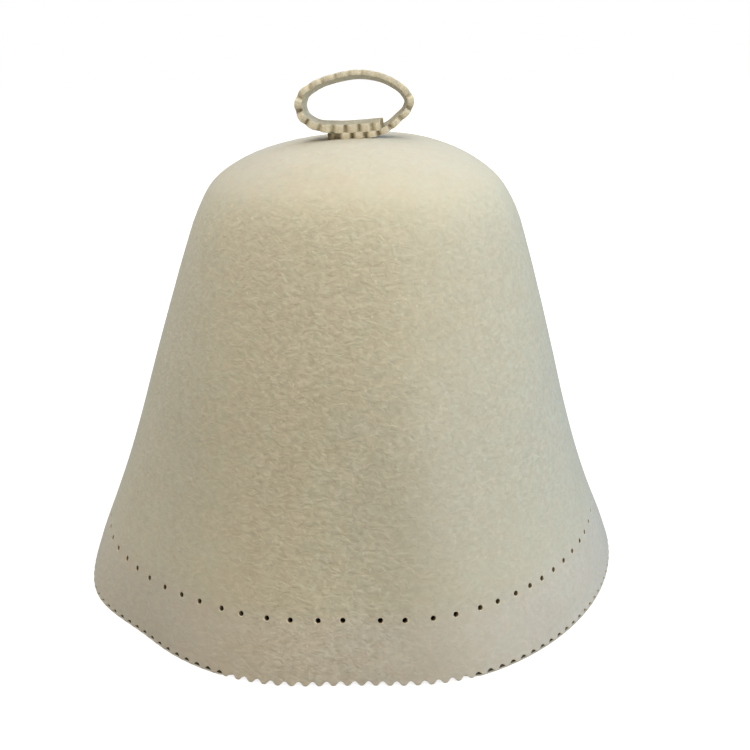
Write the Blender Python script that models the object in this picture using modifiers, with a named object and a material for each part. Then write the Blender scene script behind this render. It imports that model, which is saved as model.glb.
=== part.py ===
"""Bell-shaped sauna hat of pressed felt, standing on its hem.

The hat is one wall of felt, seamless from crown to hem. Its hem is pinked into
small teeth, and a row of round holes is punched above it. A strip of the same
felt, pinked along one edge, is bent into a hanging loop whose two ends lie one
over the other on the crown.

The origin is on the floor under the middle of the hem. +Z is up and -Y is the
front.
"""
import math
from bisect import bisect_right

import bmesh
import bpy
from mathutils import Matrix, Vector

MM = 0.001

# The felt, and the cutter that pinked both pieces
FELT_THICKNESS = 3.0 * MM
TOOTH_DEPTH = 2.4 * MM
TOOTH_TIP_SHARE = 0.18
TOOTH_VALLEY_SHARE = 0.13

# The bell. Each row is a level section of its outer face: how high it is, how
# wide, how far its middle leans to +X (all in millimetres), and how many rings
# of faces the wall has from there to the next section.
AXIS_Y = -3.5 * MM
BELL_SECTIONS = (
    # height, radius, lean, rings
    (0.0, 152.0, 0.0, 1),
    (12.0, 147.8, 0.0, 1),
    (30.0, 139.8, 0.0, 1),
    (55.0, 129.8, 0.5, 1),
    (85.0, 119.6, 1.5, 1),
    (118.0, 109.5, 2.5, 1),
    (150.0, 99.4, 3.1, 1),
    (175.0, 91.3, 3.5, 1),
    (194.0, 84.1, 4.0, 2),
    (208.0, 75.5, 3.8, 2),
    (218.8, 61.6, 4.9, 2),
    (226.6, 41.0, 8.0, 1),
    (229.9, 20.0, 11.8, 1),
    (230.7, 0.0, 13.5, 0),
)
# Soft folds of the wall: the direction each one faces in degrees from +X, how
# far it stands out at the hem (less than nothing is a hollow), its half width
# in degrees, and the height in millimetres at which it has died away.
BELL_FOLDS = (
    # direction, stands out, half width, fades at
    (-149.0, 1.7, 8.0, 90.0),
    (-133.0, -2.2, 8.0, 90.0),
    (-114.0, -2.1, 9.0, 120.0),
    (-90.0, -7.1, 11.0, 200.0),
)
BELL_SIDES = 72
HEM_ALLOWANCE = 4.0 * MM
HEM_TEETH = 147
FIRST_NOTCH_DIRECTION = -91.3
NOTCH_REACH = 14.0 * MM

# The punched holes. They were punched by hand, so the turn in degrees from one
# to the next varies along the front. Behind, they are evenly spread.
HOLE_DIAMETER = 2.4 * MM
HOLE_SIDES = 8
HOLE_REACH = 12.0 * MM
HOLE_HEIGHT = 29.0 * MM
HOLE_ROW_RISE = 1.4 * MM
FRONT_HOLE_LEFT = -91.0
FRONT_HOLE_RIGHT = -83.8
HOLE_TURNS_LEFT = (4.8, 5.4, 4.7, 5.4, 4.3, 5.1, 4.6, 4.5, 5.2, 4.4, 4.9, 5.3)
HOLE_TURNS_RIGHT = (4.8, 5.4, 4.5, 5.3, 3.9, 4.7, 4.0, 3.8, 4.5, 4.2, 4.4, 4.9, 3.9)
HOLE_TURN_BEHIND = 4.7

# The hanging loop. Each row is a place on the middle of the strip along its
# front edge, in millimetres: across to +X and up from the floor. It starts at
# the end that lies on the crown and stops at the end that lies on top.
LOOP_ROUTE = (
    # across, height
    (-3.0, 231.3),
    (6.6, 231.8),
    (15.5, 232.2),
    (20.9, 234.1),
    (26.1, 238.6),
    (30.5, 243.2),
    (31.7, 247.8),
    (29.0, 252.9),
    (22.2, 257.8),
    (7.4, 261.5),
    (-5.2, 259.9),
    (-15.7, 256.4),
    (-22.7, 251.2),
    (-24.6, 245.6),
    (-22.6, 240.2),
    (-17.1, 236.4),
    (-5.3, 234.7),
    (6.6, 235.1),
    (17.2, 236.0),
)
LOOP_FRONT_Y = -22.0 * MM
LOOP_WIDTH = 9.0 * MM
LOOP_CONE_INSET = 2.0 * MM
LOOP_BACK_SHIFT = Vector((0.5 * MM, 0.0, -0.3 * MM))
LOOP_TOOTH_PITCH = 6.5 * MM

# Undyed felt, a little yellower where the strip was cut
FELT_COLOUR = (0.66, 0.60, 0.44, 1.0)
LOOP_COLOUR = (0.68, 0.60, 0.40, 1.0)
FELT_ROUGHNESS = 0.95

CURVE_STEPS = 240
MERGE_DISTANCE = 0.01 * MM


def clear_scene():
    for thing in list(bpy.data.objects):
        bpy.data.objects.remove(thing, do_unlink=True)


def new_collection(name):
    group = bpy.data.collections.new(name)
    bpy.context.scene.collection.children.link(group)
    return group


def felt_material(name, colour):
    material = bpy.data.materials.new(name)
    material.use_nodes = True
    shader = material.node_tree.nodes["Principled BSDF"]
    shader.inputs["Base Color"].default_value = colour
    shader.inputs["Roughness"].default_value = FELT_ROUGHNESS
    shader.inputs["Metallic"].default_value = 0.0
    return material


def new_object(name, bm, group, material=None):
    mesh = bpy.data.meshes.new(name)
    bm.to_mesh(mesh)
    bm.free()
    if material:
        mesh.materials.append(material)
        mesh.shade_smooth()
    thing = bpy.data.objects.new(name, mesh)
    group.objects.link(thing)
    return thing


def felt_wall(thing, offset):
    """Gives an open surface the thickness of the felt."""
    wall = thing.modifiers.new("felt", "SOLIDIFY")
    wall.thickness = FELT_THICKNESS
    wall.offset = offset
    wall.use_even_offset = True


def cut_away(thing, cutter, name):
    cutter.hide_render = True
    cutter.display_type = "WIRE"
    cut = thing.modifiers.new(name, "BOOLEAN")
    cut.operation = "DIFFERENCE"
    cut.solver = "EXACT"
    cut.object = cutter


def chord_lengths(rows):
    """Distance along straight lines through the rows' first two columns."""
    lengths = [0.0]
    for before, after in zip(rows, rows[1:]):
        step = math.hypot(after[0] - before[0], after[1] - before[1])
        lengths.append(lengths[-1] + step)
    return lengths


def smooth_row(rows, lengths, place):
    """The row at a distance along the smooth curve through all the rows."""
    last = len(rows) - 1

    def slope(index, column):
        index = min(max(index, 1), last - 1)
        before = lengths[index] - lengths[index - 1]
        after = lengths[index + 1] - lengths[index]
        rise_before = (rows[index][column] - rows[index - 1][column]) / before
        rise_after = (rows[index + 1][column] - rows[index][column]) / after
        return (rise_before * after + rise_after * before) / (before + after)

    first = min(max(bisect_right(lengths, place) - 1, 0), last - 1)
    span = lengths[first + 1] - lengths[first]
    t = (place - lengths[first]) / span
    end_weight = 3 * t**2 - 2 * t**3
    start_turn = (t**3 - 2 * t**2 + t) * span
    end_turn = (t**3 - t**2) * span
    return [
        start + (end - start) * end_weight
        + slope(first, column) * start_turn
        + slope(first + 1, column) * end_turn
        for column, (start, end) in enumerate(zip(rows[first], rows[first + 1]))
    ]


def bell_profile():
    """Height, radius and lean of each ring of the bell, from hem to crown top."""
    height, radius, lean, rings = BELL_SECTIONS[-2]
    beyond_top = (height, -radius, 2 * BELL_SECTIONS[-1][2] - lean, rings)
    sections = BELL_SECTIONS + (beyond_top,)
    rows = [[value * MM for value in section[:3]] for section in sections]
    lengths = chord_lengths(rows)
    profile = []
    for section, start, end in zip(BELL_SECTIONS, lengths, lengths[1:]):
        rings = section[3]
        for ring in range(rings):
            profile.append(smooth_row(rows, lengths, start + (end - start) * ring / rings))
    profile.append(rows[-2])
    return profile


def hem_flare(profile):
    """How fast the wall widens towards the hem: outwards for each step down."""
    hem, above = profile[0], profile[1]
    return (hem[1] - above[1]) / (above[0] - hem[0])


def fold_at(direction, height):
    """How far the folds move the wall outwards at a direction and a height."""
    outwards = 0.0
    for facing, stands_out, half_width, fades_at in BELL_FOLDS:
        turn = (math.degrees(direction) - facing + 180.0) % 360.0 - 180.0
        fade = min(max(1.0 - height / (fades_at * MM), 0.0), 1.0)
        outwards += stands_out * MM * math.exp(-0.5 * (turn / half_width) ** 2) * fade
    return outwards


def section_at(profile, height):
    """Radius and lean of the bell at a height between two of its rings."""
    for low, high in zip(profile, profile[1:]):
        if high[0] >= height:
            share = (height - low[0]) / (high[0] - low[0])
            return [start + (end - start) * share for start, end in zip(low[1:], high[1:])]
    return profile[-1][1:]


def wall_point(direction, height, radius, lean):
    """A place on the bell's outer face."""
    reach = radius + fold_at(direction, height)
    across = lean + reach * math.cos(direction)
    return Vector((across, AXIS_Y + reach * math.sin(direction), height))


def hem_steps(count, first_direction):
    """Directions and the pitch of even steps along the hem's edge."""
    fine = [math.radians(first_direction + 360.0 * i / CURVE_STEPS) for i in range(CURVE_STEPS + 1)]
    hem_radius = BELL_SECTIONS[0][1] * MM
    points = [wall_point(direction, 0.0, hem_radius, 0.0) for direction in fine]
    walked = [0.0]
    for before, after in zip(points, points[1:]):
        walked.append(walked[-1] + (after - before).length)
    pitch = walked[-1] / count
    directions = []
    for index in range(count):
        low = bisect_right(walked, pitch * index) - 1
        share = (pitch * index - walked[low]) / (walked[low + 1] - walked[low])
        directions.append(fine[low] + (fine[low + 1] - fine[low]) * share)
    return directions, pitch


def bell_surface(profile, group, material):
    """The bell's outer face, turned from its profile and then folded."""
    hem = profile[0]
    allowance = [-HEM_ALLOWANCE, hem[1] + hem_flare(profile) * HEM_ALLOWANCE, hem[2]]
    rings = [allowance] + profile

    bm = bmesh.new()
    points = [bm.verts.new((radius, 0.0, height)) for height, radius, lean in rings]
    edges = [bm.edges.new(pair) for pair in zip(points, points[1:])]
    bmesh.ops.spin(
        bm,
        geom=points + edges,
        cent=(0.0, 0.0, 0.0),
        axis=(0.0, 0.0, 1.0),
        angle=math.tau,
        steps=BELL_SIDES,
        use_merge=True,
    )
    bmesh.ops.remove_doubles(bm, verts=bm.verts[:], dist=MERGE_DISTANCE)
    bmesh.ops.recalc_face_normals(bm, faces=bm.faces[:])
    for vert in bm.verts:
        x, y, height = vert.co
        lean = min(rings, key=lambda ring: abs(ring[0] - height))[2]
        vert.co = wall_point(math.atan2(y, x), height, math.hypot(x, y), lean)
    return new_object("felt_bell", bm, group, material)


def hem_trim(group):
    """A block under the floor line, which cuts the hem level where it rests."""
    bm = bmesh.new()
    bmesh.ops.create_cube(bm, size=1.0)
    side = 2.5 * BELL_SECTIONS[0][1] * MM
    depth = 3.0 * HEM_ALLOWANCE
    bmesh.ops.scale(bm, vec=(side, side, depth), verts=bm.verts)
    bmesh.ops.translate(bm, vec=(0.0, 0.0, -0.5 * depth), verts=bm.verts)
    return new_object("hem_trim", bm, group)


def notch_cutters(profile, group):
    """The wedges between the hem's teeth, square to the flaring wall."""
    directions, pitch = hem_steps(HEM_TEETH, FIRST_NOTCH_DIRECTION)
    valley_half = 0.5 * pitch * TOOTH_VALLEY_SHARE
    mouth_half = 0.5 * pitch * (1.0 - TOOTH_TIP_SHARE)
    below = 0.5 * TOOTH_DEPTH
    below_half = mouth_half + (mouth_half - valley_half) * below / TOOTH_DEPTH
    tilt = Matrix.Rotation(-math.atan(hem_flare(profile)), 4, "Y")

    bm = bmesh.new()
    for direction in directions:
        wedge = bmesh.ops.create_cube(bm, size=1.0)["verts"]
        for vert in wedge:
            is_top = vert.co.z > 0.0
            half = valley_half if is_top else below_half
            along = math.copysign(half, vert.co.y)
            vert.co = Vector((vert.co.x * NOTCH_REACH, along, TOOTH_DEPTH if is_top else -below))
        place = Matrix.Translation(wall_point(direction, 0.0, profile[0][1], 0.0))
        turn = Matrix.Rotation(direction, 4, "Z")
        bmesh.ops.transform(bm, matrix=place @ turn @ tilt, verts=wedge)
    return new_object("notch_cutters", bm, group)


def hole_directions():
    """Where the punched holes face, in degrees from +X."""
    left = [FRONT_HOLE_LEFT]
    for turn in HOLE_TURNS_LEFT:
        left.append(left[-1] - turn)
    right = [FRONT_HOLE_RIGHT]
    for turn in HOLE_TURNS_RIGHT:
        right.append(right[-1] + turn)
    behind = left[-1] + 360.0 - right[-1]
    gaps = round(behind / HOLE_TURN_BEHIND)
    return left + right + [right[-1] + behind * gap / gaps for gap in range(1, gaps)]


def hole_cutters(profile, group):
    """One punch for each hole, square to the wall."""
    below = section_at(profile, 0.5 * HOLE_HEIGHT)[0]
    above = section_at(profile, 1.5 * HOLE_HEIGHT)[0]
    lie_level = Matrix.Rotation(0.5 * math.pi - math.atan2(below - above, HOLE_HEIGHT), 4, "Y")

    bm = bmesh.new()
    for facing in hole_directions():
        direction = math.radians(facing)
        height = HOLE_HEIGHT + HOLE_ROW_RISE * math.cos(direction)
        place = Matrix.Translation(wall_point(direction, height, *section_at(profile, height)))
        turn = Matrix.Rotation(direction, 4, "Z")
        bmesh.ops.create_cone(
            bm,
            cap_ends=True,
            segments=HOLE_SIDES,
            radius1=0.5 * HOLE_DIAMETER,
            radius2=0.5 * HOLE_DIAMETER,
            depth=HOLE_REACH,
            matrix=place @ turn @ lie_level,
        )
    return new_object("hole_cutters", bm, group)


def build_bell(parts, cutters):
    profile = bell_profile()
    bell = bell_surface(profile, parts, felt_material("bell_felt", FELT_COLOUR))
    felt_wall(bell, offset=-1.0)
    cut_away(bell, hem_trim(cutters), "level hem")
    cut_away(bell, notch_cutters(profile, cutters), "pinked hem")
    cut_away(bell, hole_cutters(profile, cutters), "punched holes")


def strip_stations(length):
    """Places along the strip where its pinked edge turns, and how deep it is."""
    teeth = round(length / LOOP_TOOTH_PITCH)
    valley_start = 0.5 * (1.0 + TOOTH_TIP_SHARE - TOOTH_VALLEY_SHARE)
    one_tooth = (
        (0.0, 0.0),
        (TOOTH_TIP_SHARE, 0.0),
        (valley_start, TOOTH_DEPTH),
        (valley_start + TOOTH_VALLEY_SHARE, TOOTH_DEPTH),
    )
    stations = [
        ((tooth + share) * length / teeth, depth) for tooth in range(teeth) for share, depth in one_tooth
    ]
    return stations + [(length, 0.0)]


def build_loop(parts):
    """The strip's middle surface, bent along its route, then made as thick as the felt."""
    rows = [[value * MM for value in row] for row in LOOP_ROUTE]
    lengths = chord_lengths(rows)
    stations = strip_stations(lengths[-1])
    last = len(stations) - 1

    bm = bmesh.new()
    bmesh.ops.create_grid(bm, x_segments=last, y_segments=1, size=1.0)
    for vert in bm.verts:
        place, depth = stations[round(0.5 * (vert.co.x + 1.0) * last)]
        back = 1.0 if vert.co.y > 0.0 else depth / LOOP_WIDTH
        before = smooth_row(rows, lengths, max(place - MM, 0.0))
        after = smooth_row(rows, lengths, min(place + MM, lengths[-1]))
        along = Vector((after[0] - before[0], 0.0, after[1] - before[1])).normalized()
        inwards = Vector((-along.z, 0.0, along.x))
        across, height = smooth_row(rows, lengths, place)
        front = Vector((across, LOOP_FRONT_Y, height))
        to_back = Vector((0.0, LOOP_WIDTH, 0.0)) + inwards * LOOP_CONE_INSET + LOOP_BACK_SHIFT
        vert.co = front + to_back * back
    bmesh.ops.recalc_face_normals(bm, faces=bm.faces[:])
    loop = new_object("hanging_loop", bm, parts, felt_material("loop_felt", LOOP_COLOUR))
    felt_wall(loop, offset=0.0)


def main():
    clear_scene()
    parts = new_collection("sauna_hat")
    cutters = new_collection("sauna_hat_cutters")
    build_bell(parts, cutters)
    build_loop(parts)


main()
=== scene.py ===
"""The felt sauna hat, dressed for its picture on a pale floor.

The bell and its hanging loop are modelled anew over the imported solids: the
same walls, folds, teeth and punched holes, with softened edges and the grain
of pressed wool.
"""
import math
from bisect import bisect_right

import bmesh
import bpy
from mathutils import Matrix, Vector


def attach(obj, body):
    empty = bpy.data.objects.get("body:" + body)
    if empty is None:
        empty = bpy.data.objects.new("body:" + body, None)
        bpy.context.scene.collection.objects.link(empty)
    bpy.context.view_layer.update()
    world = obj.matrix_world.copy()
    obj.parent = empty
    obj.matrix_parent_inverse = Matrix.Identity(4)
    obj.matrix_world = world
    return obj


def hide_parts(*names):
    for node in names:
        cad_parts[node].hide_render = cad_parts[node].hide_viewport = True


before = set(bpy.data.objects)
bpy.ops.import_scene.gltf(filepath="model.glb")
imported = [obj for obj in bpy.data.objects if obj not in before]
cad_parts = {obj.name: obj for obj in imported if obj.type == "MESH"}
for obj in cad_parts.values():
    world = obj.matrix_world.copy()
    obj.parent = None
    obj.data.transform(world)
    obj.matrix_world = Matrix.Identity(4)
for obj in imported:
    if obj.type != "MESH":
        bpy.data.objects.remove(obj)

MM = 0.001

# The felt, and the cutter that pinked both pieces. The tips and valleys of the
# hem's teeth are flat over these shares of a tooth.
FELT_THICKNESS = 3.0 * MM
TOOTH_DEPTH = 2.1 * MM
TOOTH_TIP_SHARE = 0.18
TOOTH_VALLEY_SHARE = 0.13
STEPS_PER_TOOTH = 8

# The bell. Its axis stands a little in front of the middle.
AXIS_Y = -3.5 * MM
# Each row is a level section of its outer face: its height, its radius, how far
# its middle leans to +X (all in millimetres), and how many rings of faces the
# wall has from there to the next section.
BELL_SECTIONS = (
    # height, radius, lean, rings
    (0.0, 152.0, 0.0, 2),
    (12.0, 147.5, 0.0, 3),
    (30.0, 139.6, 0.0, 3),
    (55.0, 129.6, 0.5, 4),
    (85.0, 119.3, 1.3, 4),
    (118.0, 109.2, 2.3, 4),
    (150.0, 99.1, 3.3, 4),
    (175.0, 90.8, 4.0, 3),
    (194.0, 83.6, 4.5, 4),
    (208.0, 74.9, 4.4, 4),
    (218.3, 60.8, 5.3, 4),
    (226.2, 40.2, 8.0, 3),
    (229.8, 20.0, 11.8, 2),
    (230.7, 0.0, 13.5, 0),
)
HEM_RADIUS = BELL_SECTIONS[0][1] * MM
# Soft folds of the wall: the direction each one faces in degrees from +X, how
# far it stands out at the hem (less than nothing is a hollow), its half width
# in degrees, and the height in millimetres at which it has died away.
BELL_FOLDS = (
    # direction, stands out, half width, fades at
    (-178.0, -1.2, 9.0, 100.0),
    (-152.7, 2.9, 7.2, 90.0),
    (-134.8, -2.5, 6.4, 32.0),
    (-117.9, -2.6, 13.7, 120.0),
    (-88.7, -7.4, 10.5, 135.0),
)
# A soft ridge half way up, where two flatter sides meet: its direction, how far
# it stands out, its half width in degrees, and its middle and half height
SIDE_RIDGE = (-76.0, 3.0, 7.5, 93.0, 38.0)
# The hem's teeth, and the direction of one of their notches in degrees. The wall
# is spun as one of these equal gores, which is then copied round.
HEM_TEETH = 147
FIRST_NOTCH_DIRECTION = -91.3
BELL_GORES = 7
# Rings near the hem that carry the teeth, in millimetres up the wall, and the
# distance up it at which the teeth have faded away
HEM_RINGS = (0.9, 1.7, 2.9, 4.6, 7.2)
TOOTH_FADE = 9.5 * MM
# The rounding of the hem's edge, and the places that make it, as shares of it:
# inwards from the outer face and up, then outwards from the inner face and up
HEM_EDGE_ROUNDING = 0.45 * MM
HEM_OUTER_ROUND = ((0.55, 0.22), (1.3, 0.0))
HEM_INNER_ROUND = ((1.0, 0.0), (0.1, 0.22), (-0.35, 1.0))
# The inside has only every second ring near the hem and every third above
INSIDE_HEM_STEP = 2
INSIDE_WALL_STEP = 3

# The punched holes. They were punched by hand, so the turn in degrees from one
# to the next varies along the front. Behind, they are evenly spread. The row
# runs a little higher on the right and dips on the left, about one direction.
HOLE_DIAMETER = 2.4 * MM
HOLE_SIDES = 20
HOLE_REACH = 7.0 * MM
HOLE_RIM = 0.35 * MM
HOLE_HEIGHT = 28.7 * MM
HOLE_ROW_RISE = 1.8 * MM
HOLE_RISE_CURVE = 3
HOLE_ROW_DIP = 1.4 * MM
HOLE_DIP_AT = -134.0
HOLE_DIP_WIDTH = 7.0
FRONT_HOLE_LEFT = -90.9
FRONT_HOLE_RIGHT = -83.6
HOLE_TURNS_LEFT = (4.8, 5.4, 4.6, 5.3, 4.4, 5.3, 4.7, 4.9, 5.1, 4.6, 4.4, 4.7)
HOLE_TURNS_RIGHT = (4.7, 5.4, 4.5, 5.2, 4.1, 4.6, 4.0, 3.7, 4.1, 4.2, 4.2, 4.6, 3.9)
HOLE_TURN_BEHIND = 4.7
# How a punch widens at the hole's rim: away from its middle and out of the wall,
# as shares of the rim
PUNCH_FLARE = ((0.0, -1.0), (0.3, -0.3), (1.0, 0.0), (3.0, 1.0))

# The hanging loop. Each row is a place on the middle of the strip along its
# front edge, in millimetres: across to +X and up from the floor, and how thick
# the strip is there, thin where it is stretched and thick where its ends lie
# over each other. It starts at the end that lies on the crown and stops at the
# end that lies on top.
LOOP_ROUTE = (
    # across, height, thickness
    (-9.6, 230.6, 3.3),
    (-3.0, 231.0, 3.3),
    (6.6, 231.5, 3.3),
    (15.5, 232.5, 3.2),
    (20.9, 234.8, 3.0),
    (26.1, 239.0, 2.9),
    (30.5, 243.5, 3.1),
    (31.7, 247.8, 3.3),
    (29.0, 252.5, 3.0),
    (22.2, 257.3, 2.8),
    (7.4, 261.0, 2.7),
    (-5.2, 259.4, 2.7),
    (-15.5, 255.9, 2.8),
    (-22.2, 251.0, 3.3),
    (-23.9, 245.6, 3.7),
    (-22.0, 240.0, 3.7),
    (-16.6, 236.1, 3.7),
    (-5.3, 234.5, 4.1),
    (6.6, 234.9, 4.1),
    (17.9, 235.8, 4.1),
)
LOOP_FRONT_Y = -22.0 * MM
LOOP_WIDTH = 9.0 * MM
LOOP_THICKEST = 4.1 * MM
LOOP_BACK_SHIFT = Vector((0.5 * MM, 0.0, -0.3 * MM))
LOOP_TOOTH_PITCH = 6.575 * MM
LOOP_TOOTH_TIP_SHARE = 0.38
LOOP_TOOTH_VALLEY_SHARE = 0.06
LOOP_STEPS_PER_TOOTH = 12
LOOP_FIRST_NOTCH = 5.7 * MM
# How far before and after a place its direction is taken from
LOOP_AIM_STEP = 1.0 * MM
# The strip's first end is tucked in, set back and painted with shade: fully up
# to one length from it, and not at all beyond another. The whole layer
# underneath is set back a little in the same way.
LOOP_TUCKED_END = (4.5 * MM, 7.0 * MM)
LOOP_TUCKED_BACK = 1.6 * MM
LOOP_UNDER_LAYER = (24.0 * MM, 34.0 * MM)
LOOP_UNDER_BACK = 0.5 * MM
# The end on top is cut, and has as much painted shade as a notch, over this length
LOOP_END_SHADE = 1.4 * MM
# Rows of points across the strip, as shares of its width
LOOP_ROWS = (0.0, 0.34, 0.55, 0.78, 1.0)
LOOP_EDGE_ROUNDING = 0.35 * MM
LOOP_EDGE_STEPS = 2
LOOP_EDGE_ANGLE = math.radians(60.0)
# The strip leans in towards its back. The notches are worn at the top of the
# loop: how much shallower they are there, how much paler their painted shade is,
# and how much painted shade the teeth between them get there.
LOOP_CONE_INSET = 2.0 * MM
LOOP_INSET_CURVE = 1.6
LOOP_TOP_SHALLOWER = 0.35
LOOP_TOP_PALER = 0.7
LOOP_TOP_SHADE = 0.48
# The attribute that says how much painted shade the cut edge has: 1 in a
# notch, and this much at the tucked end
NOTCH_SHADE = "notch_shade"
TUCKED_SHADE = 2.0

CURVE_STEPS = 240
MERGE_DISTANCE = 0.002 * MM
SHARP_EDGE = math.radians(48.0)
WALL_FACE_WEIGHT = 80

# The order of a piece's materials
PRESSED, CUT, PUNCHED = range(3)

# Undyed wool and its tints at random
WOOL_LIGHT = (0.70, 0.65, 0.50, 1.0)
WOOL_SHADE = (0.54, 0.49, 0.36, 1.0)
WOOL_FLECK = (0.82, 0.78, 0.64, 1.0)
WOOL_WARM_TINT = (1.01, 0.995, 0.985, 1.0)
WOOL_COOL_TINT = (0.99, 1.005, 1.01, 1.0)
# Painted light on the felt: cooler on the hem band, on the crown and at its left edge; on the
# loop, darker and cooler, as painted shade; warmer left of the middle and cooler to the sides
HEM_PAINTED_LIGHT = (1.0, 0.985, 1.05, 1.0)
CROWN_PAINTED_LIGHT = (0.965, 0.976, 1.047, 1.0)
CROWN_LEFT_PAINTED_LIGHT = (0.96, 0.985, 1.055, 1.0)
LOOP_PAINTED_SHADE = (0.85, 0.86, 0.90, 1.0)
WARM_MIDDLE_PAINTED_LIGHT = (1.014, 1.008, 0.982, 1.0)
COOL_SIDES_PAINTED_LIGHT = (0.992, 1.006, 1.020, 1.0)
# The sheen's tint, and white
SHEEN_TINT = (0.62, 0.84, 1.0, 1.0)
WHITE = (1.0, 1.0, 1.0, 1.0)
# The wool where a blade has opened it
CUT_LIGHT = (0.84, 0.77, 0.59, 1.0)
CUT_SHADE = (0.66, 0.58, 0.41, 1.0)
# The walls of the punched holes, painted darker as in shade
HOLE_LIGHT = (0.40, 0.34, 0.24, 1.0)
HOLE_SHADE = (0.24, 0.19, 0.12, 1.0)
# The colour of the painted shade: deep in a notch, at the loop's ends, and on the felt by its
# tucked end
DEEP_PAINTED_SHADE = (0.16, 0.13, 0.07, 1.0)
# The crown grows smooth between two heights, and has painted cooler light
# between the next two. The loop does neither, so its heights are above it. The
# last is how much smoother the crown grows.
CROWN_PRESSED = (190.0 * MM, 216.0 * MM)
CROWN_COOLS = (203.0 * MM, 226.0 * MM)
ABOVE_LOOP = (300.0 * MM, 400.0 * MM)
CROWN_SMOOTHER = 0.7
# The smooth crown has one more painted cool light, at its left edge, which
# comes in between these two distances to the left
CROWN_LEFT = (5.0 * MM, 55.0 * MM)
# The painted cooler light on the hem band gives way between these two heights
HEM_BAND = (22.0 * MM, 38.0 * MM)
# The painted light is warmest along this place across the hat, and grows cooler
# between two distances to each side of it. On the right that dies away between
# these two heights.
WARM_MIDDLE = -40.0 * MM
COOLS_LEFT = (10.0 * MM, 45.0 * MM)
COOLS_RIGHT = (15.0 * MM, 62.0 * MM)
WARM_ABOVE = (90.0 * MM, 165.0 * MM)
# The nap stands up most along this place across the hat, and lies flatter from
# the first to the second distance from it. By how much it does so low on the
# hat, and by how much less above the second of two heights.
NAP_MIDDLE = -12.0 * MM
NAP_FLATTENS = (12.0 * MM, 55.0 * MM)
NAP_FLAT_SHARE = 0.60
NAP_FLAT_LESS = 0.20
NAP_RISES = (25.0 * MM, 90.0 * MM)
# A painted shadow darkens the felt in the narrow gap where the loop's first end
# is tucked in: the middle of the gap, the distances at which the shadow is full
# and gone, and how dark it is
TUCK_PLACE = (-10.5 * MM, -11.0 * MM, 230.5 * MM)
TUCK_SHADE = (4.0 * MM, 14.0 * MM)
TUCK_DARK = 0.5

# The sizes of the marks in the pressed face
LUMP_SIZE = 3.3 * MM
CURL_SIZE = 2.8 * MM
CREASE_SIZE = 3.2 * MM
FLECK_SIZE = 2.2 * MM
NAP_SIZE = 1.2 * MM
PATCH_SIZE = 21.0 * MM
WARMTH_SIZE = 8.0 * MM
WEAR_SIZE = 34.0 * MM
# The lumps swirl, and so do the fibres: the size of the swirls and how far they
# push, and how many times longer than high the marks become
LUMP_SWIRL = (11.0 * MM, 7.5 * MM)
LUMP_STRETCH = 1.5
FIBRE_SWIRL = (6.0 * MM, 6.0 * MM)
FIBRE_STRETCH = 1.8
# Where in its noise each of these marks starts and is full
CURLS = (0.48, 0.80)
CREASES = (0.50, 0.84)
FLECKS = (0.70, 0.78)
WARMTH = (0.35, 0.65)
# The middle of a tone and of plain noise, and that of the curls and creases
MIDDLE = 0.5
MARK_MIDDLE = 0.2
# How much each mark does to the tone, next to the lumps
CURL_TONE = 0.28
CREASE_TONE = 0.26
NAP_TONE = 0.12
PATCH_TONE = 0.20
FLECK_TONE = 0.6
# Wear leaves the marks this strong at least, and this much more where it is slight
WEAR_LEAVES = 0.65
WEAR_SPARES = 0.7
# The relief of the curls and creases next to the lumps, how deep it all is, and
# how rough the face is without and with its nap
MARK_RELIEF = 0.28
PRESSED_RELIEF = 0.8 * MM
PRESSED_ROUGHNESS = 0.84
NAP_ROUGHNESS = 0.14

# The same for the cut faces. Painted shade shows from this much of a notch's
# shade, is darker in patches, and darkest where the end is tucked in.
FLUFF_SIZE = 1.3 * MM
FIBRE_END_SIZE = 0.4 * MM
NOTCH_PATCH_SIZE = 5.0 * MM
NOTCH_PATCHES = (0.36, 0.60)
FLUFF_TONE = 0.6
FIBRE_END_TONE = 0.4
CUT_TONES = (0.3, 0.72)
NOTCH_STARTS = 0.3
NOTCH_DARK = 0.32
NOTCH_PATCH_DARK = 0.5
TUCKED_DARK = 0.5
CUT_RELIEF = 0.6 * MM
CUT_ROUGHNESS = 0.86
FIBRE_END_ROUGHNESS = 0.12

# The studio. The floor glows, less near the hat, so that its shadow shows there,
# and fully beyond the second of two distances. Distances are in metres.
FLOOR_WHITE = (0.45, 0.45, 0.45, 1.0)
FLOOR_BOUNCE = (0.25, 0.25, 0.24, 1.0)
FLOOR_ROUGHNESS = 0.9
FLOOR_HALF_WIDTH = 6.0
FLOOR_MIDDLE = (0.0, 0.0, 0.0)
FLOOR_GLOW_NEAR = 0.82
FLOOR_SHADE_FADES = (0.20, 0.60)
# The floor lies a hair below the hem, and the sheet of painted shade half as far
FLOOR_DROP = 0.02 * MM
SHADE_DROP = 0.01 * MM
# How far the painted shade on the floor stays inside the hem's edge, how wide
# its paler rim is, and how far across from the middle the front's white notches
# give way to the sides' dark ones
SHADE_INSET_FRONT = 12.0 * MM
SHADE_INSET_SIDES = 0.3 * MM
HALF_SHADE_RIM = 1.0 * MM
WHITE_NOTCHES = (38.0 * MM, 60.0 * MM)
# How the painted shade on the floor and its rim glow, and the order of their paints
BLACK = (0.0, 0.0, 0.0, 1.0)
HALF_SHADE = (0.30, 0.28, 0.22, 1.0)
SHADED, HALF_SHADED = range(2)
ROOM_GLOW = (0.375, 0.306, 0.220, 1.0)
LAMP_AIM = Vector((0.0, 0.0, 120.0 * MM))
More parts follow.
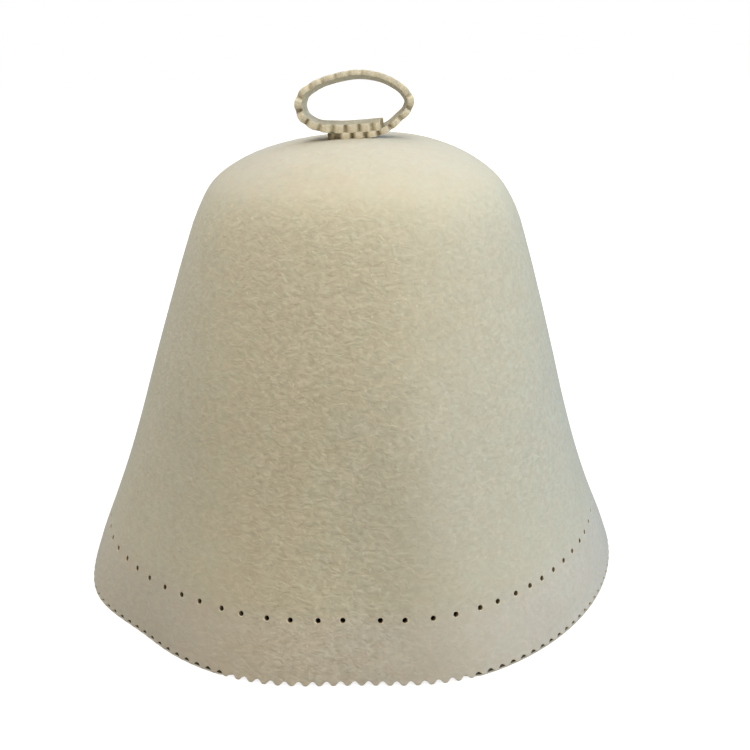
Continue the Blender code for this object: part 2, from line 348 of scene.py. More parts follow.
# Distance in metres, direction and rise in degrees, how wide the lamp is for
# its distance, and how bright it makes a white card at the hat in red, green
# and blue
LAMPS = (
    # name, distance, direction, rise, width, red, green, blue
    ("top_lamp", 0.5, -90.0, 80.0, 1.1, 0.546, 0.556, 0.553),
    ("cool_right_lamp", 1.8, 10.0, 25.0, 0.6, 0.140, 0.222, 0.351),
    ("left_lamp", 0.9, 180.0, 5.0, 0.6, 0.191, 0.209, 0.234),
    ("front_lamp", 1.0, -50.0, 5.0, 0.6, 0.252, 0.272, 0.287),
)

# The camera, as the photo's own ellipses place it
CAMERA_PLACE = Vector((13.3 * MM, -459.5 * MM, 275.2 * MM))
CAMERA_DOWN = math.radians(21.40)
CAMERA_ROLL = math.radians(-0.34)
CAMERA_LENS = 40.94
CAMERA_SENSOR = 36.0


# Curves and sections

def chord_lengths(rows):
    """Distance along straight lines through the rows' first two columns."""
    lengths = [0.0]
    for before, after in zip(rows, rows[1:]):
        step = math.hypot(after[0] - before[0], after[1] - before[1])
        lengths.append(lengths[-1] + step)
    return lengths


def smooth_row(rows, lengths, place):
    """The row at a distance along the smooth curve through all the rows."""
    last = len(rows) - 1

    def slope(index, column):
        index = min(max(index, 1), last - 1)
        before = lengths[index] - lengths[index - 1]
        after = lengths[index + 1] - lengths[index]
        rise_before = (rows[index][column] - rows[index - 1][column]) / before
        rise_after = (rows[index + 1][column] - rows[index][column]) / after
        return (rise_before * after + rise_after * before) / (before + after)

    first = min(max(bisect_right(lengths, place) - 1, 0), last - 1)
    span = lengths[first + 1] - lengths[first]
    t = (place - lengths[first]) / span
    end_weight = 3 * t**2 - 2 * t**3
    start_turn = (t**3 - 2 * t**2 + t) * span
    end_turn = (t**3 - t**2) * span
    return [
        start + (end - start) * end_weight
        + slope(first, column) * start_turn
        + slope(first + 1, column) * end_turn
        for column, (start, end) in enumerate(zip(rows[first], rows[first + 1]))
    ]


def bell_profile():
    """Height, radius and lean of each ring of the bell, from hem to crown top."""
    height, radius, lean, rings = BELL_SECTIONS[-2]
    beyond_top = (height, -radius, 2 * BELL_SECTIONS[-1][2] - lean, rings)
    sections = BELL_SECTIONS + (beyond_top,)
    rows = [[value * MM for value in section[:3]] for section in sections]
    lengths = chord_lengths(rows)
    profile = []
    for section, start, end in zip(BELL_SECTIONS, lengths, lengths[1:]):
        rings = section[3]
        for ring in range(rings):
            profile.append(smooth_row(rows, lengths, start + (end - start) * ring / rings))
    profile.append(rows[-2])
    return profile


def hem_flare(profile):
    """How fast the wall widens towards the hem: outwards for each step down."""
    hem, above = profile[0], profile[2]
    return (hem[1] - above[1]) / (above[0] - hem[0])


def bulge(away, half_width):
    """1 in the middle of a soft swelling, and less the further away from it."""
    return math.exp(-0.5 * (away / half_width) ** 2)


def turn_from(facing, direction):
    """Degrees from one direction to another, the shorter way round."""
    return (math.degrees(direction) - facing + 180.0) % 360.0 - 180.0


def fold_at(direction, height):
    """How far the folds move the wall outwards at a direction and a height."""
    outwards = 0.0
    for facing, stands_out, half_width, fades_at in BELL_FOLDS:
        fade = min(max(1.0 - height / (fades_at * MM), 0.0), 1.0)
        outwards += stands_out * MM * bulge(turn_from(facing, direction), half_width) * fade
    facing, stands_out, half_width, middle, half_height = SIDE_RIDGE
    fade = bulge(height / MM - middle, half_height)
    return outwards + stands_out * MM * bulge(turn_from(facing, direction), half_width) * fade


def section_at(profile, height):
    """Radius and lean of the bell at a height between two of its rings."""
    for low, high in zip(profile, profile[1:]):
        if high[0] >= height:
            share = (height - low[0]) / (high[0] - low[0])
            return [start + (end - start) * share for start, end in zip(low[1:], high[1:])]
    return profile[-1][1:]


def wall_point(direction, height, radius, lean):
    """A place on the bell's wall, folded as the wall is."""
    reach = radius + fold_at(direction, height)
    across = lean + reach * math.cos(direction)
    return Vector((across, AXIS_Y + reach * math.sin(direction), height))


def hem_steps(count, first_direction):
    """Directions of even steps along the hem's edge."""
    fine = [
        math.radians(first_direction + 360.0 * step / CURVE_STEPS)
        for step in range(CURVE_STEPS + 1)
    ]
    points = [wall_point(direction, 0.0, HEM_RADIUS, 0.0) for direction in fine]
    walked = [0.0]
    for before, after in zip(points, points[1:]):
        walked.append(walked[-1] + (after - before).length)
    pitch = walked[-1] / count
    directions = []
    for index in range(count):
        low = bisect_right(walked, pitch * index) - 1
        share = (pitch * index - walked[low]) / (walked[low + 1] - walked[low])
        directions.append(fine[low] + (fine[low + 1] - fine[low]) * share)
    return directions


def falling_share(place, full_until, gone_from):
    """1 up to one place, 0 from another, and even between."""
    return min(max((gone_from - place) / (gone_from - full_until), 0.0), 1.0)


def tooth_cut(in_tooth, tip_share, valley_share):
    """How much of a tooth's depth is cut away at a place in it, from 0 to 1.

    The place runs from 0 at one valley to 1 at the next.
    """
    from_tip = abs(2.0 * in_tooth - 1.0)
    slope = (from_tip - tip_share) / (1.0 - tip_share - valley_share)
    slope = min(max(slope, 0.0), 1.0)
    rounded = slope**2 * (3.0 - 2.0 * slope)
    return 0.5 * (slope + rounded)


# Shaping

def new_piece(name, bm, *materials):
    """The finished mesh, as a thing in the scene."""
    mesh = bpy.data.meshes.new(name)
    bm.to_mesh(mesh)
    bm.free()
    for material in materials:
        mesh.materials.append(material)
    mesh.shade_smooth()
    thing = bpy.data.objects.new(name, mesh)
    bpy.context.scene.collection.objects.link(thing)
    return thing


def keep_cuts_crisp(thing):
    thing.data.set_sharp_from_angle(angle=SHARP_EDGE)


def keep_wall_even(thing):
    """Lets the wall's broad faces set the shading round the small holes."""
    even = thing.modifiers.new("even wall", "WEIGHTED_NORMAL")
    even.keep_sharp = True
    even.weight = WALL_FACE_WEIGHT


def inner_rows(rows):
    """The rows moved inwards by the felt's thickness, square to the wall."""
    moved = []
    for index, (radius, height, lean, up_wall) in enumerate(rows):
        before = rows[max(index - 1, 0)]
        after = rows[min(index + 1, len(rows) - 1)]
        along = Vector((after[0] - before[0], after[1] - before[1])).normalized()
        if radius == 0.0:
            along = Vector((-1.0, 0.0))
        radius -= along.y * FELT_THICKNESS
        height += along.x * FELT_THICKNESS
        moved.append((radius, height, lean, up_wall))
    return moved


def bell_outline(profile):
    """The wall's cross-section, from the outer crown down, round the hem and up inside.

    Each row is a radius, a height, a lean and a distance up the wall.
    """
    flare = hem_flare(profile)
    slant = math.hypot(1.0, flare)
    hem_radius = profile[0][1]
    level_thickness = FELT_THICKNESS * slant
    wall = [(radius, height, lean, height * slant) for height, radius, lean in profile[2:]]
    band = [
        (hem_radius - flare * rise * MM / slant, rise * MM / slant, 0.0, rise * MM)
        for rise in HEM_RINGS
    ]
    soft = HEM_EDGE_ROUNDING
    outer_edge = [(hem_radius - flare * soft / slant, soft / slant, 0.0, 0.0)]
    for inwards, up in HEM_OUTER_ROUND:
        outer_edge.append((hem_radius - inwards * soft, up * soft, 0.0, 0.0))
    inner_radius = hem_radius - level_thickness
    inner_edge = []
    for outwards, up in HEM_INNER_ROUND:
        inner_edge.append((inner_radius + outwards * soft, up * soft, 0.0, 0.0))
    inner_band = [
        (radius - level_thickness, height, lean, up_wall)
        for radius, height, lean, up_wall in band[1::INSIDE_HEM_STEP]
    ]
    inside = inner_rows(wall)
    inside = inside[1:-1:INSIDE_WALL_STEP] + inside[-1:]
    return wall[::-1] + band[::-1] + outer_edge + inner_edge + inner_band + inside


def section_line(bm, rows):
    """A line through points that are each given as a radius and a height."""
    points = [bm.verts.new((row[0], 0.0, row[1])) for row in rows]
    edges = [bm.edges.new(pair) for pair in zip(points, points[1:])]
    return points, edges


def spin(bm, line, angle, steps):
    """Sweeps a line round the upright axis."""
    bmesh.ops.spin(
        bm,
        geom=line,
        cent=(0.0, 0.0, 0.0),
        axis=(0.0, 0.0, 1.0),
        angle=angle,
        steps=steps,
        use_merge=angle == math.tau,
    )


def verts_in(geom):
    """The points among a part of the mesh."""
    return [part for part in geom if isinstance(part, bmesh.types.BMVert)]


def copy_moved(bm, geom, matrix):
    """Copies a part of the mesh, and moves the copy."""
    copied = bmesh.ops.duplicate(bm, geom=geom)["geom"]
    bmesh.ops.transform(bm, matrix=matrix, verts=verts_in(copied))


def felt_bell(profile, *materials):
    """The hollow bell with its folds and its pinked hem."""
    steps = HEM_TEETH * STEPS_PER_TOOTH
    rows = bell_outline(profile)
    bm = bmesh.new()
    lean_of = bm.verts.layers.float.new("lean")
    rise_of = bm.verts.layers.float.new("rise")
    points, edges = section_line(bm, rows)
    for point, row in zip(points, rows):
        point[lean_of] = row[2]
        point[rise_of] = row[3]
    gore = math.tau / BELL_GORES
    spin(bm, points + edges, gore, steps // BELL_GORES)
    first_gore = bm.verts[:] + bm.edges[:] + bm.faces[:]
    for index in range(1, BELL_GORES):
        copy_moved(bm, first_gore, Matrix.Rotation(gore * index, 4, "Z"))
    bmesh.ops.remove_doubles(bm, verts=bm.verts[:], dist=MERGE_DISTANCE)
    bmesh.ops.recalc_face_normals(bm, faces=bm.faces[:])

    for face in bm.faces:
        at_edge = all(vert[rise_of] == 0.0 for vert in face.verts)
        face.material_index = CUT if at_edge else PRESSED

    directions = hem_steps(steps, FIRST_NOTCH_DIRECTION)
    flare = hem_flare(profile)
    for vert in bm.verts:
        x, y, height = vert.co
        step = round(math.atan2(y, x) % math.tau / math.tau * steps) % steps
        direction = directions[step]
        place = wall_point(direction, height, math.hypot(x, y), vert[lean_of])
        fade = max(1.0 - vert[rise_of] / TOOTH_FADE, 0.0)
        up_wall = Vector((-flare * math.cos(direction), -flare * math.sin(direction), 1.0))
        cut = tooth_cut(step / STEPS_PER_TOOTH % 1.0, TOOTH_TIP_SHARE, TOOTH_VALLEY_SHARE)
        vert.co = place + up_wall.normalized() * TOOTH_DEPTH * cut * fade
    return new_piece("bell_of_felt", bm, *materials)


def hole_directions():
    """Where the punched holes face, in degrees from +X."""
    left = [FRONT_HOLE_LEFT]
    for turn in HOLE_TURNS_LEFT:
        left.append(left[-1] - turn)
    right = [FRONT_HOLE_RIGHT]
    for turn in HOLE_TURNS_RIGHT:
        right.append(right[-1] + turn)
    behind = left[-1] + 360.0 - right[-1]
    gaps = round(behind / HOLE_TURN_BEHIND)
    return left + right + [right[-1] + behind * gap / gaps for gap in range(1, gaps)]


def punches(profile, *materials):
    """One round punch for each hole, flared where it softens the hole's rim."""
    below = section_at(profile, 0.5 * HOLE_HEIGHT)[0]
    above = section_at(profile, 1.5 * HOLE_HEIGHT)[0]
    lie_level = Matrix.Rotation(0.5 * math.pi - math.atan2(below - above, HOLE_HEIGHT), 4, "Y")
    radius = 0.5 * HOLE_DIAMETER
    outline = [(0.0, -HOLE_REACH), (radius, -HOLE_REACH)]
    for wider, outwards in PUNCH_FLARE:
        outline.append((radius + wider * HOLE_RIM, outwards * HOLE_RIM))
    outline.append((0.0, HOLE_RIM))
    bm = bmesh.new()
    points, edges = section_line(bm, outline)
    spin(bm, points + edges, math.tau, HOLE_SIDES)
    bmesh.ops.remove_doubles(bm, verts=bm.verts[:], dist=MERGE_DISTANCE)
    bmesh.ops.recalc_face_normals(bm, faces=bm.faces[:])
    # Below the rim, the hole's wall takes a darker paint, as painted shade
    for face in bm.faces:
        face.material_index = CUT if face.calc_center_median().z > -HOLE_RIM else PUNCHED
    one_punch = bm.verts[:] + bm.edges[:] + bm.faces[:]
    for facing in hole_directions():
        direction = math.radians(facing)
        rise = HOLE_ROW_RISE * max(math.cos(direction), 0.0) ** HOLE_RISE_CURVE
        dip = HOLE_ROW_DIP * bulge(facing - HOLE_DIP_AT, HOLE_DIP_WIDTH)
        height = HOLE_HEIGHT + rise - dip
        place = Matrix.Translation(wall_point(direction, height, *section_at(profile, height)))
        turn = Matrix.Rotation(direction, 4, "Z")
        copy_moved(bm, one_punch, place @ turn @ lie_level)
    bmesh.ops.delete(bm, geom=verts_in(one_punch), context="VERTS")
    return new_piece("punches", bm, *materials)


def punch_holes(bell, punch):
    """Cuts the punches out of the bell and takes them away."""
    cut = bell.modifiers.new("punched holes", "BOOLEAN")
    cut.operation = "DIFFERENCE"
    cut.solver = "EXACT"
    cut.object = punch
    evaluated = bell.evaluated_get(bpy.context.evaluated_depsgraph_get())
    punched = bpy.data.meshes.new_from_object(evaluated)
    bell.modifiers.clear()
    bell.data = punched
    bpy.data.objects.remove(punch, do_unlink=True)


def hanging_loop(loop_felt, cut_felt):
    """The pinked strip, bent along its route."""
    rows = [[value * MM for value in row] for row in LOOP_ROUTE]
    lengths = chord_lengths(rows)
    whole = lengths[-1]
    step_length = LOOP_TOOTH_PITCH / LOOP_STEPS_PER_TOOTH
    last = round(whole / step_length)
    first_notch = round(LOOP_FIRST_NOTCH / step_length)
    deepest = len(LOOP_ROWS) - 1

    bm = bmesh.new()
    notch_of = bm.verts.layers.float.new(NOTCH_SHADE)
    thickness_of = bm.verts.layers.deform.verify()
    bmesh.ops.create_grid(bm, x_segments=last, y_segments=deepest, size=1.0)
    for vert in bm.verts:
        step = round(0.5 * (vert.co.x + 1.0) * last)
        row = round(0.5 * (vert.co.y + 1.0) * deepest)
        place = whole * step / last
        before = smooth_row(rows, lengths, max(place - LOOP_AIM_STEP, 0.0))
        after = smooth_row(rows, lengths, min(place + LOOP_AIM_STEP, whole))
        along = Vector((after[0] - before[0], 0.0, after[1] - before[1])).normalized()
        inwards = Vector((-along.z, 0.0, along.x))
        on_top = max(-inwards.z, 0.0)
        in_tooth = (step - first_notch) / LOOP_STEPS_PER_TOOTH % 1.0
        cut = tooth_cut(in_tooth, LOOP_TOOTH_TIP_SHARE, LOOP_TOOTH_VALLEY_SHARE)
        depth = cut * TOOTH_DEPTH * (1.0 - LOOP_TOP_SHALLOWER * on_top)
        back = depth / LOOP_WIDTH if row == 0 else LOOP_ROWS[row]
        across, height, thickness = smooth_row(rows, lengths, place)
        tucked_in = falling_share(place, *LOOP_TUCKED_END)
        underneath = falling_share(place, *LOOP_UNDER_LAYER)
        set_back = LOOP_TUCKED_BACK * tucked_in + LOOP_UNDER_BACK * underneath
        front = Vector((across, LOOP_FRONT_Y + set_back, height))
        to_back = Vector((0.0, LOOP_WIDTH, 0.0)) * back
        inset = LOOP_CONE_INSET * back**LOOP_INSET_CURVE
        vert.co = front + to_back + inwards * inset + LOOP_BACK_SHIFT * back
        # Painted shade on the cut edge: in the notches, across the top of the loop, at the end on
        # top and at the tucked end
        notch = 0.0
        if row == 0:
            notch = max(cut * (1.0 - LOOP_TOP_PALER * on_top), LOOP_TOP_SHADE * on_top)
        at_end = place > whole - LOOP_END_SHADE
        tuck = TUCKED_SHADE * tucked_in * (1.0 - row / deepest)
        vert[notch_of] = max(notch, float(at_end), tuck)
        vert[thickness_of][0] = min(thickness / LOOP_THICKEST, 1.0)
        if at_end:
            for face in vert.link_faces:
                face.material_index = CUT
    bmesh.ops.recalc_face_normals(bm, faces=bm.faces[:])
    loop = new_piece("loop_of_felt", bm, loop_felt, cut_felt)

    wall = loop.modifiers.new("felt", "SOLIDIFY")
    wall.thickness = LOOP_THICKEST
    wall.vertex_group = loop.vertex_groups.new(name="felt thickness").name
    wall.offset = 0.0
    wall.use_even_offset = True
    wall.material_offset_rim = CUT
    soften = loop.modifiers.new("soft edges", "BEVEL")
    soften.limit_method = "ANGLE"
    soften.angle_limit = LOOP_EDGE_ANGLE
    soften.width = LOOP_EDGE_ROUNDING
    soften.segments = LOOP_EDGE_STEPS
    return loop


# Finishes

# A Mix node's sockets for colours
MIX_START, MIX_END, MIX_RESULT = 6, 7, 2


class Value:
    """One number over a surface. Python's operators add the Math nodes."""

    def __init__(self, finish, socket):
        self.finish = finish
        self.socket = socket

    def __add__(self, other):
        return self.finish.number("ADD", self, other)

    __radd__ = __add__

    def __sub__(self, other):
        return self.finish.number("SUBTRACT", self, other)

    def __rsub__(self, other):
        return self.finish.number("SUBTRACT", other, self)

    def __mul__(self, other):
        return self.finish.number("MULTIPLY", self, other)

    __rmul__ = __mul__

    def __neg__(self):
        return 0.0 - self

    def __abs__(self):
        return self.finish.number("ABSOLUTE", self)


class Finish:
    """A material and the one way its nodes are made."""

    def __init__(self, name):
        self.material = bpy.data.materials.new(name)
        self.material.use_nodes = True
        self.tree = self.material.node_tree
        self.shader = self.tree.nodes["Principled BSDF"]

    def feed(self, socket, value):
        """Sets a socket to a constant, or links what varies to it."""
        if isinstance(value, Value):
            value = value.socket
        if isinstance(value, bpy.types.NodeSocket):
            self.tree.links.new(value, socket)
        else:
            socket.default_value = value

    def surface(self, values):
        """Feeds the shader's own sockets, each by its name."""
        for name, value in values.items():
            self.feed(self.shader.inputs[name], value)

    def node(self, kind, settings, sockets):
        """A new node: its settings first, and then what its sockets hold."""
        node = self.tree.nodes.new(kind)
        for name, setting in settings.items():
            setattr(node, name, setting)
        for name, value in sockets.items():
            self.feed(node.inputs[name], value)
        return node

    def number(self, operation, *values):
        node = self.node("ShaderNodeMath", {"operation": operation}, dict(enumerate(values)))
        return Value(self, node.outputs[0])

    def within(self, value, low, high):
        """0 below low, 1 above high, and smooth between."""
        node = self.node(
            "ShaderNodeMapRange",
            {"interpolation_type": "SMOOTHSTEP"},
            {"Value": value, "From Min": low, "From Max": high},
        )
        return Value(self, node.outputs[0])

    def place(self):
        """Places on the piece, as its own axes measure them."""
        return self.node("ShaderNodeTexCoord", {}, {}).outputs["Object"]

    def away_from(self, spot, place):
        """How far each place is from one spot."""
        node = self.node("ShaderNodeVectorMath", {"operation": "DISTANCE"}, {0: place, 1: spot})
        return Value(self, node.outputs["Value"])

    def drawn_out(self, place, stretch):
        """Places for a pattern that is longer level than upright."""
        sockets = {"Vector": place, "Scale": (1.0, 1.0, stretch)}
        return self.node("ShaderNodeMapping", {}, sockets).outputs[0]

    def stirred(self, place, size, push):
        """Places pushed about by soft noise, so that a pattern on them swirls."""
        sockets = {"Vector": place, "Scale": 1.0 / size, "Detail": 1.0}
        noise = self.node("ShaderNodeTexNoise", {}, sockets)
        sockets = {0: noise.outputs["Color"], 1: (push, push, push), 2: place}
        return self.node("ShaderNodeVectorMath", {"operation": "MULTIPLY_ADD"}, sockets).outputs[0]

    def grain(self, place, size, detail=2.0, roughness=0.5, distortion=0.0):
        """Soft noise whose lumps measure about size, from 0 to 1."""
        node = self.node(
            "ShaderNodeTexNoise",
            {"normalize": True},
            {
                "Vector": place,
                "Scale": 1.0 / size,
                "Detail": detail,
                "Roughness": roughness,
                "Distortion": distortion,
            },
        )
        return Value(self, node.outputs["Fac"])

    def tinted(self, colour, tint):
        """A colour times another."""
        settings = {"data_type": "RGBA", "blend_type": "MULTIPLY"}
        sockets = {"Factor": 1.0, MIX_START: colour, MIX_END: tint}
        return self.node("ShaderNodeMix", settings, sockets).outputs[MIX_RESULT]

    def blend(self, share, start, end):
        """A colour between two, by a share from 0 to 1."""
        sockets = {"Factor": share, MIX_START: start, MIX_END: end}
        return self.node("ShaderNodeMix", {"data_type": "RGBA"}, sockets).outputs[MIX_RESULT]

    def bump(self, height, depth, strength):
        """Relief of a pattern, in the light that falls on it."""
        sockets = {"Height": height, "Distance": depth, "Strength": strength}
        return self.node("ShaderNodeBump", {}, sockets).outputs[0]


def pressed_wool(name, tint, pressed_above, cools_above):
    """The pressed face of the felt: low lumps, swirled fibres, flecks and a dull bloom.

    Between two heights it grows smoother, as the crown does on its block, and
    between two more the tint it is given, none or the loop's painted shade,
    gives way to the crown's painted cooler light. More painted light tints the
    wool, and a painted shadow lies under the loop's tucked end.
    """
    felt = Finish(name)
    even = felt.place()
    level = felt.drawn_out(felt.stirred(even, *LUMP_SWIRL), LUMP_STRETCH)
    combed = felt.drawn_out(felt.stirred(even, *FIBRE_SWIRL), FIBRE_STRETCH)
    axes = felt.node("ShaderNodeSeparateXYZ", {}, {"Vector": even})
    height = Value(felt, axes.outputs["Z"])
    across = Value(felt, axes.outputs["X"])
    crown_share = felt.within(height, *pressed_above)
    flat_share = NAP_FLAT_SHARE - NAP_FLAT_LESS * felt.within(height, *NAP_RISES)
    lies_flat = flat_share * felt.within(abs(across - NAP_MIDDLE), *NAP_FLATTENS)
    rough_share = (1.0 - CROWN_SMOOTHER * crown_share) * (1.0 - lies_flat)

    lumps = felt.grain(level, LUMP_SIZE, detail=1.0, distortion=0.3)
    curls = felt.within(felt.grain(combed, CURL_SIZE, detail=0.5), *CURLS)
    creases = felt.within(felt.grain(combed, CREASE_SIZE, detail=0.5, distortion=0.5), *CREASES)
    flecks = felt.within(felt.grain(even, FLECK_SIZE, detail=1.0), *FLECKS)
    nap = felt.grain(even, NAP_SIZE, detail=1.0)
    patches = felt.grain(even, PATCH_SIZE)
    warmth = felt.within(felt.grain(even, WARMTH_SIZE, roughness=0.6), *WARMTH)
    worn = WEAR_LEAVES + WEAR_SPARES * felt.grain(even, WEAR_SIZE, detail=1.0)

    strokes = (
        (lumps - MIDDLE)
        + CURL_TONE * (curls - MARK_MIDDLE)
        - CREASE_TONE * (creases - MARK_MIDDLE)
        + NAP_TONE * (nap - MIDDLE)
    )
    tone = MIDDLE + rough_share * worn * strokes + PATCH_TONE * (patches - MIDDLE)
    colour = felt.blend(felt.within(tone, 0.0, 1.0), WOOL_SHADE, WOOL_LIGHT)

    # After the wool's random warmth, these tints are painted light, and on the loop painted shade
    cool_left = felt.within(WARM_MIDDLE - across, *COOLS_LEFT)
    low_down = 1.0 - felt.within(height, *WARM_ABOVE)
    cool_right = felt.within(across - WARM_MIDDLE, *COOLS_RIGHT) * low_down
    tints = (
        # share, tint at 0, tint at 1
        (warmth, WOOL_COOL_TINT, WOOL_WARM_TINT),
        (1.0 - felt.within(height, *HEM_BAND), WHITE, HEM_PAINTED_LIGHT),
        (felt.within(height, *cools_above), tint, CROWN_PAINTED_LIGHT),
        (crown_share * felt.within(-across, *CROWN_LEFT), WHITE, CROWN_LEFT_PAINTED_LIGHT),
        (cool_left + cool_right, WARM_MIDDLE_PAINTED_LIGHT, COOL_SIDES_PAINTED_LIGHT),
    )
    for share, start, end in tints:
        colour = felt.tinted(colour, felt.blend(share, start, end))

    colour = felt.blend(flecks * rough_share * FLECK_TONE, colour, WOOL_FLECK)
    # A painted shadow on the felt by the loop's tucked end
    painted_tuck_shade = 1.0 - felt.within(felt.away_from(TUCK_PLACE, even), *TUCK_SHADE)
    colour = felt.blend(TUCK_DARK * painted_tuck_shade, colour, DEEP_PAINTED_SHADE)
    relief = rough_share * (lumps + MARK_RELIEF * curls - MARK_RELIEF * creases)
    felt.surface({
        "Base Color": colour,
        "Roughness": PRESSED_ROUGHNESS + NAP_ROUGHNESS * nap,
        "Normal": felt.bump(relief, depth=PRESSED_RELIEF, strength=0.40),
        "Sheen Weight": 0.24,
        "Sheen Tint": SHEEN_TINT,
        "Sheen Roughness": 0.45,
        "Specular IOR Level": 0.12,
    })
    return felt.material


def cut_wool(name, light, shade):
    """The felt where a blade has cut it: open and fluffy, with painted shade deep in a notch."""
    felt = Finish(name)
    even = felt.place()
    fluff = felt.grain(even, FLUFF_SIZE, detail=3.0, roughness=0.6, distortion=0.8)
    fibre_ends = felt.grain(even, FIBRE_END_SIZE, roughness=0.6)
    tone = FLUFF_TONE * fluff + FIBRE_END_TONE * fibre_ends
    colour = felt.blend(felt.within(tone, *CUT_TONES), shade, light)

    # Painted shade from the attribute: deep in a notch and at the loop's ends
    attribute = felt.node("ShaderNodeAttribute", {"attribute_name": NOTCH_SHADE}, {})
    notch = Value(felt, attribute.outputs["Fac"])
    patches = felt.within(felt.grain(even, NOTCH_PATCH_SIZE, detail=1.0), *NOTCH_PATCHES)
    in_notch = felt.within(notch, NOTCH_STARTS, 1.0) * (NOTCH_DARK + NOTCH_PATCH_DARK * patches)
    painted_tuck_shade = TUCKED_DARK * felt.within(notch, 1.0, TUCKED_SHADE)
    felt.surface({
        "Base Color": felt.blend(in_notch + painted_tuck_shade, colour, DEEP_PAINTED_SHADE),
        "Roughness": CUT_ROUGHNESS + FIBRE_END_ROUGHNESS * fibre_ends,
        "Normal": felt.bump(tone, depth=CUT_RELIEF, strength=0.7),
        "Sheen Weight": 0.10,
        "Specular IOR Level": 0.10,
    })
    return felt.material


# The studio

def pale_floor():
    """A white floor. It glows for the camera only, so that it lights the hat little."""
    paint = Finish("floor_white")
    far_off = paint.within(paint.away_from(FLOOR_MIDDLE, paint.place()), *FLOOR_SHADE_FADES)
    paint.surface({
        "Base Color": FLOOR_WHITE,
        "Roughness": FLOOR_ROUGHNESS,
        "Specular IOR Level": 0.0,
        "Emission Color": 1.0 - (1.0 - FLOOR_GLOW_NEAR) * (1.0 - far_off),
        "Emission Strength": 1.0,
    })
    unseen = paint.node("ShaderNodeBsdfDiffuse", {}, {"Color": FLOOR_BOUNCE})
    ray = paint.node("ShaderNodeLightPath", {}, {})
    choose = paint.node(
        "ShaderNodeMixShader",
        {},
        {0: ray.outputs["Is Camera Ray"], 1: unseen.outputs[0], 2: paint.shader.outputs[0]},
    )
    paint.feed(paint.tree.nodes["Material Output"].inputs["Surface"], choose.outputs[0])
    bm = bmesh.new()
    bmesh.ops.create_grid(bm, x_segments=1, y_segments=1, size=FLOOR_HALF_WIDTH)
    bmesh.ops.translate(bm, vec=(0.0, 0.0, -FLOOR_DROP), verts=bm.verts)
    floor = new_piece("floor", bm, paint.material)


def shaded_paint(name, glow):
    """Paint for the sheet of painted shade, where the hat keeps the light off the floor."""
    paint = Finish(name)
    paint.surface({
        "Base Color": FLOOR_BOUNCE,
        "Roughness": FLOOR_ROUGHNESS,
        "Specular IOR Level": 0.0,
        "Emission Color": glow,
        "Emission Strength": 1.0,
    })
    return paint.material


def painted_shade_under_hat():
    """A sheet of painted shade on the floor, seen through the holes and side notches.

    It ends close inside the hem at the sides, and further in along the front.
    A narrow rim of it glows as painted half shade.
    """
    bm = bmesh.new()
    bmesh.ops.create_circle(bm, cap_ends=True, segments=CURVE_STEPS, radius=HEM_RADIUS)
    for vert in bm.verts:
        x, y, _ = vert.co
        inset = SHADE_INSET_SIDES
        if y < 0.0:
            inset += (SHADE_INSET_FRONT - inset) * falling_share(abs(x), *WHITE_NOTCHES)
        vert.co = wall_point(math.atan2(y, x), -SHADE_DROP, HEM_RADIUS - inset, 0.0)
    bm.normal_update()
    for face in bm.faces:
        face.material_index = SHADED
    rim = bmesh.ops.inset_region(
        bm,
        faces=bm.faces[:],
        thickness=HALF_SHADE_RIM,
        use_even_offset=True,
        use_boundary=True,
    )
    for face in rim["faces"]:
        face.material_index = HALF_SHADED
    in_shade = shaded_paint("floor_in_shade", BLACK)
    in_half_shade = shaded_paint("floor_in_half_shade", HALF_SHADE)
    new_piece("painted_shade_under_hat", bm, in_shade, in_half_shade)


def soft_light(name, distance, facing, rise, spread, colour):
    """A round soft lamp that looks at the middle of the hat."""
    facing, rise = math.radians(facing), math.radians(rise)
    level = math.cos(rise)
    away = Vector((math.cos(facing) * level, math.sin(facing) * level, math.sin(rise)))
    power = max(colour)
    lamp = bpy.data.lights.new(name, "AREA")
    lamp.shape = "DISK"
    lamp.size = spread * distance
    lamp.energy = power * 4.0 * math.pi * distance**2
    lamp.color = [part / power for part in colour]
    thing = bpy.data.objects.new(name, lamp)
    thing.location = LAMP_AIM + away * distance
    thing.rotation_euler = away.to_track_quat("Z", "Y").to_euler()
    thing.visible_camera = False
    bpy.context.scene.collection.objects.link(thing)


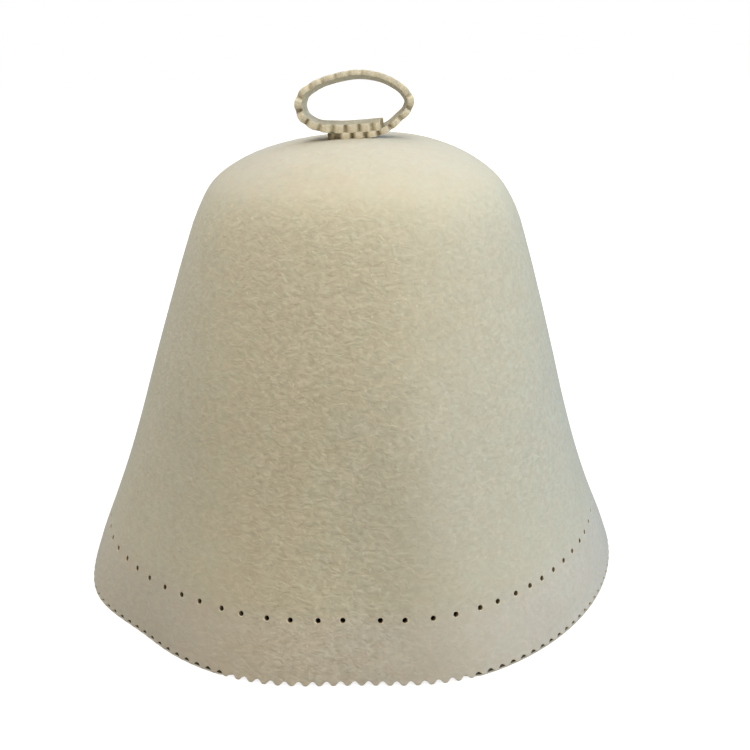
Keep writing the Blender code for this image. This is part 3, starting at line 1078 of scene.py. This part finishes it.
def white_room():
    """Even light from all round, and white where the camera sees past the floor."""
    room = bpy.data.worlds.new("white_room")
    bpy.context.scene.world = room
    room.use_nodes = True
    tree = room.node_tree
    glow = tree.nodes["Background"]
    glow.inputs["Color"].default_value = ROOM_GLOW
    backdrop = tree.nodes.new("ShaderNodeBackground")
    backdrop.inputs["Color"].default_value = WHITE
    ray = tree.nodes.new("ShaderNodeLightPath")
    choose = tree.nodes.new("ShaderNodeMixShader")
    tree.links.new(ray.outputs["Is Camera Ray"], choose.inputs[0])
    tree.links.new(glow.outputs[0], choose.inputs[1])
    tree.links.new(backdrop.outputs[0], choose.inputs[2])
    tree.links.new(choose.outputs[0], tree.nodes["World Output"].inputs["Surface"])


def camera():
    """The camera, at the place and angle of the photo's."""
    lens = bpy.data.cameras.new("camera")
    lens.sensor_width = CAMERA_SENSOR
    lens.lens = CAMERA_LENS
    thing = bpy.data.objects.new("camera", lens)
    tilt = Matrix.Rotation(0.5 * math.pi - CAMERA_DOWN, 4, "X")
    look = tilt @ Matrix.Rotation(CAMERA_ROLL, 4, "Z")
    thing.matrix_world = Matrix.Translation(CAMERA_PLACE) @ look
    bpy.context.scene.collection.objects.link(thing)
    bpy.context.scene.camera = thing


def main():
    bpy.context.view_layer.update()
    bpy.context.scene.view_settings.view_transform = "Standard"
    camera()

    bell_felt = pressed_wool("bell_wool", WHITE, CROWN_PRESSED, CROWN_COOLS)
    # The loop's felt is painted darker and cooler, as in shade
    loop_felt = pressed_wool("loop_wool_painted_shade", LOOP_PAINTED_SHADE, ABOVE_LOOP, ABOVE_LOOP)
    cut_felt = cut_wool("cut_wool", CUT_LIGHT, CUT_SHADE)
    # The walls of the punched holes, painted darker as in shade
    hole_shade_felt = cut_wool("hole_wall_painted_shade", HOLE_LIGHT, HOLE_SHADE)

    profile = bell_profile()
    bell = felt_bell(profile, bell_felt, cut_felt, hole_shade_felt)
    punch_holes(bell, punches(profile, bell_felt, cut_felt, hole_shade_felt))
    keep_cuts_crisp(bell)
    keep_wall_even(bell)
    loop = hanging_loop(loop_felt, cut_felt)

    pieces = (
        # piece, node, slot
        (bell, "felt_bell", "bell_felt"),
        (loop, "hanging_loop", "loop_felt"),
    )
    for piece, node, slot in pieces:
        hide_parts(node)
        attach(piece, "root")

    pale_floor()
    # A sheet of painted shade under the hat
    painted_shade_under_hat()
    white_room()
    for name, distance, facing, rise, spread, *colour in LAMPS:
        soft_light(name, distance, facing, rise, spread, colour)


main()
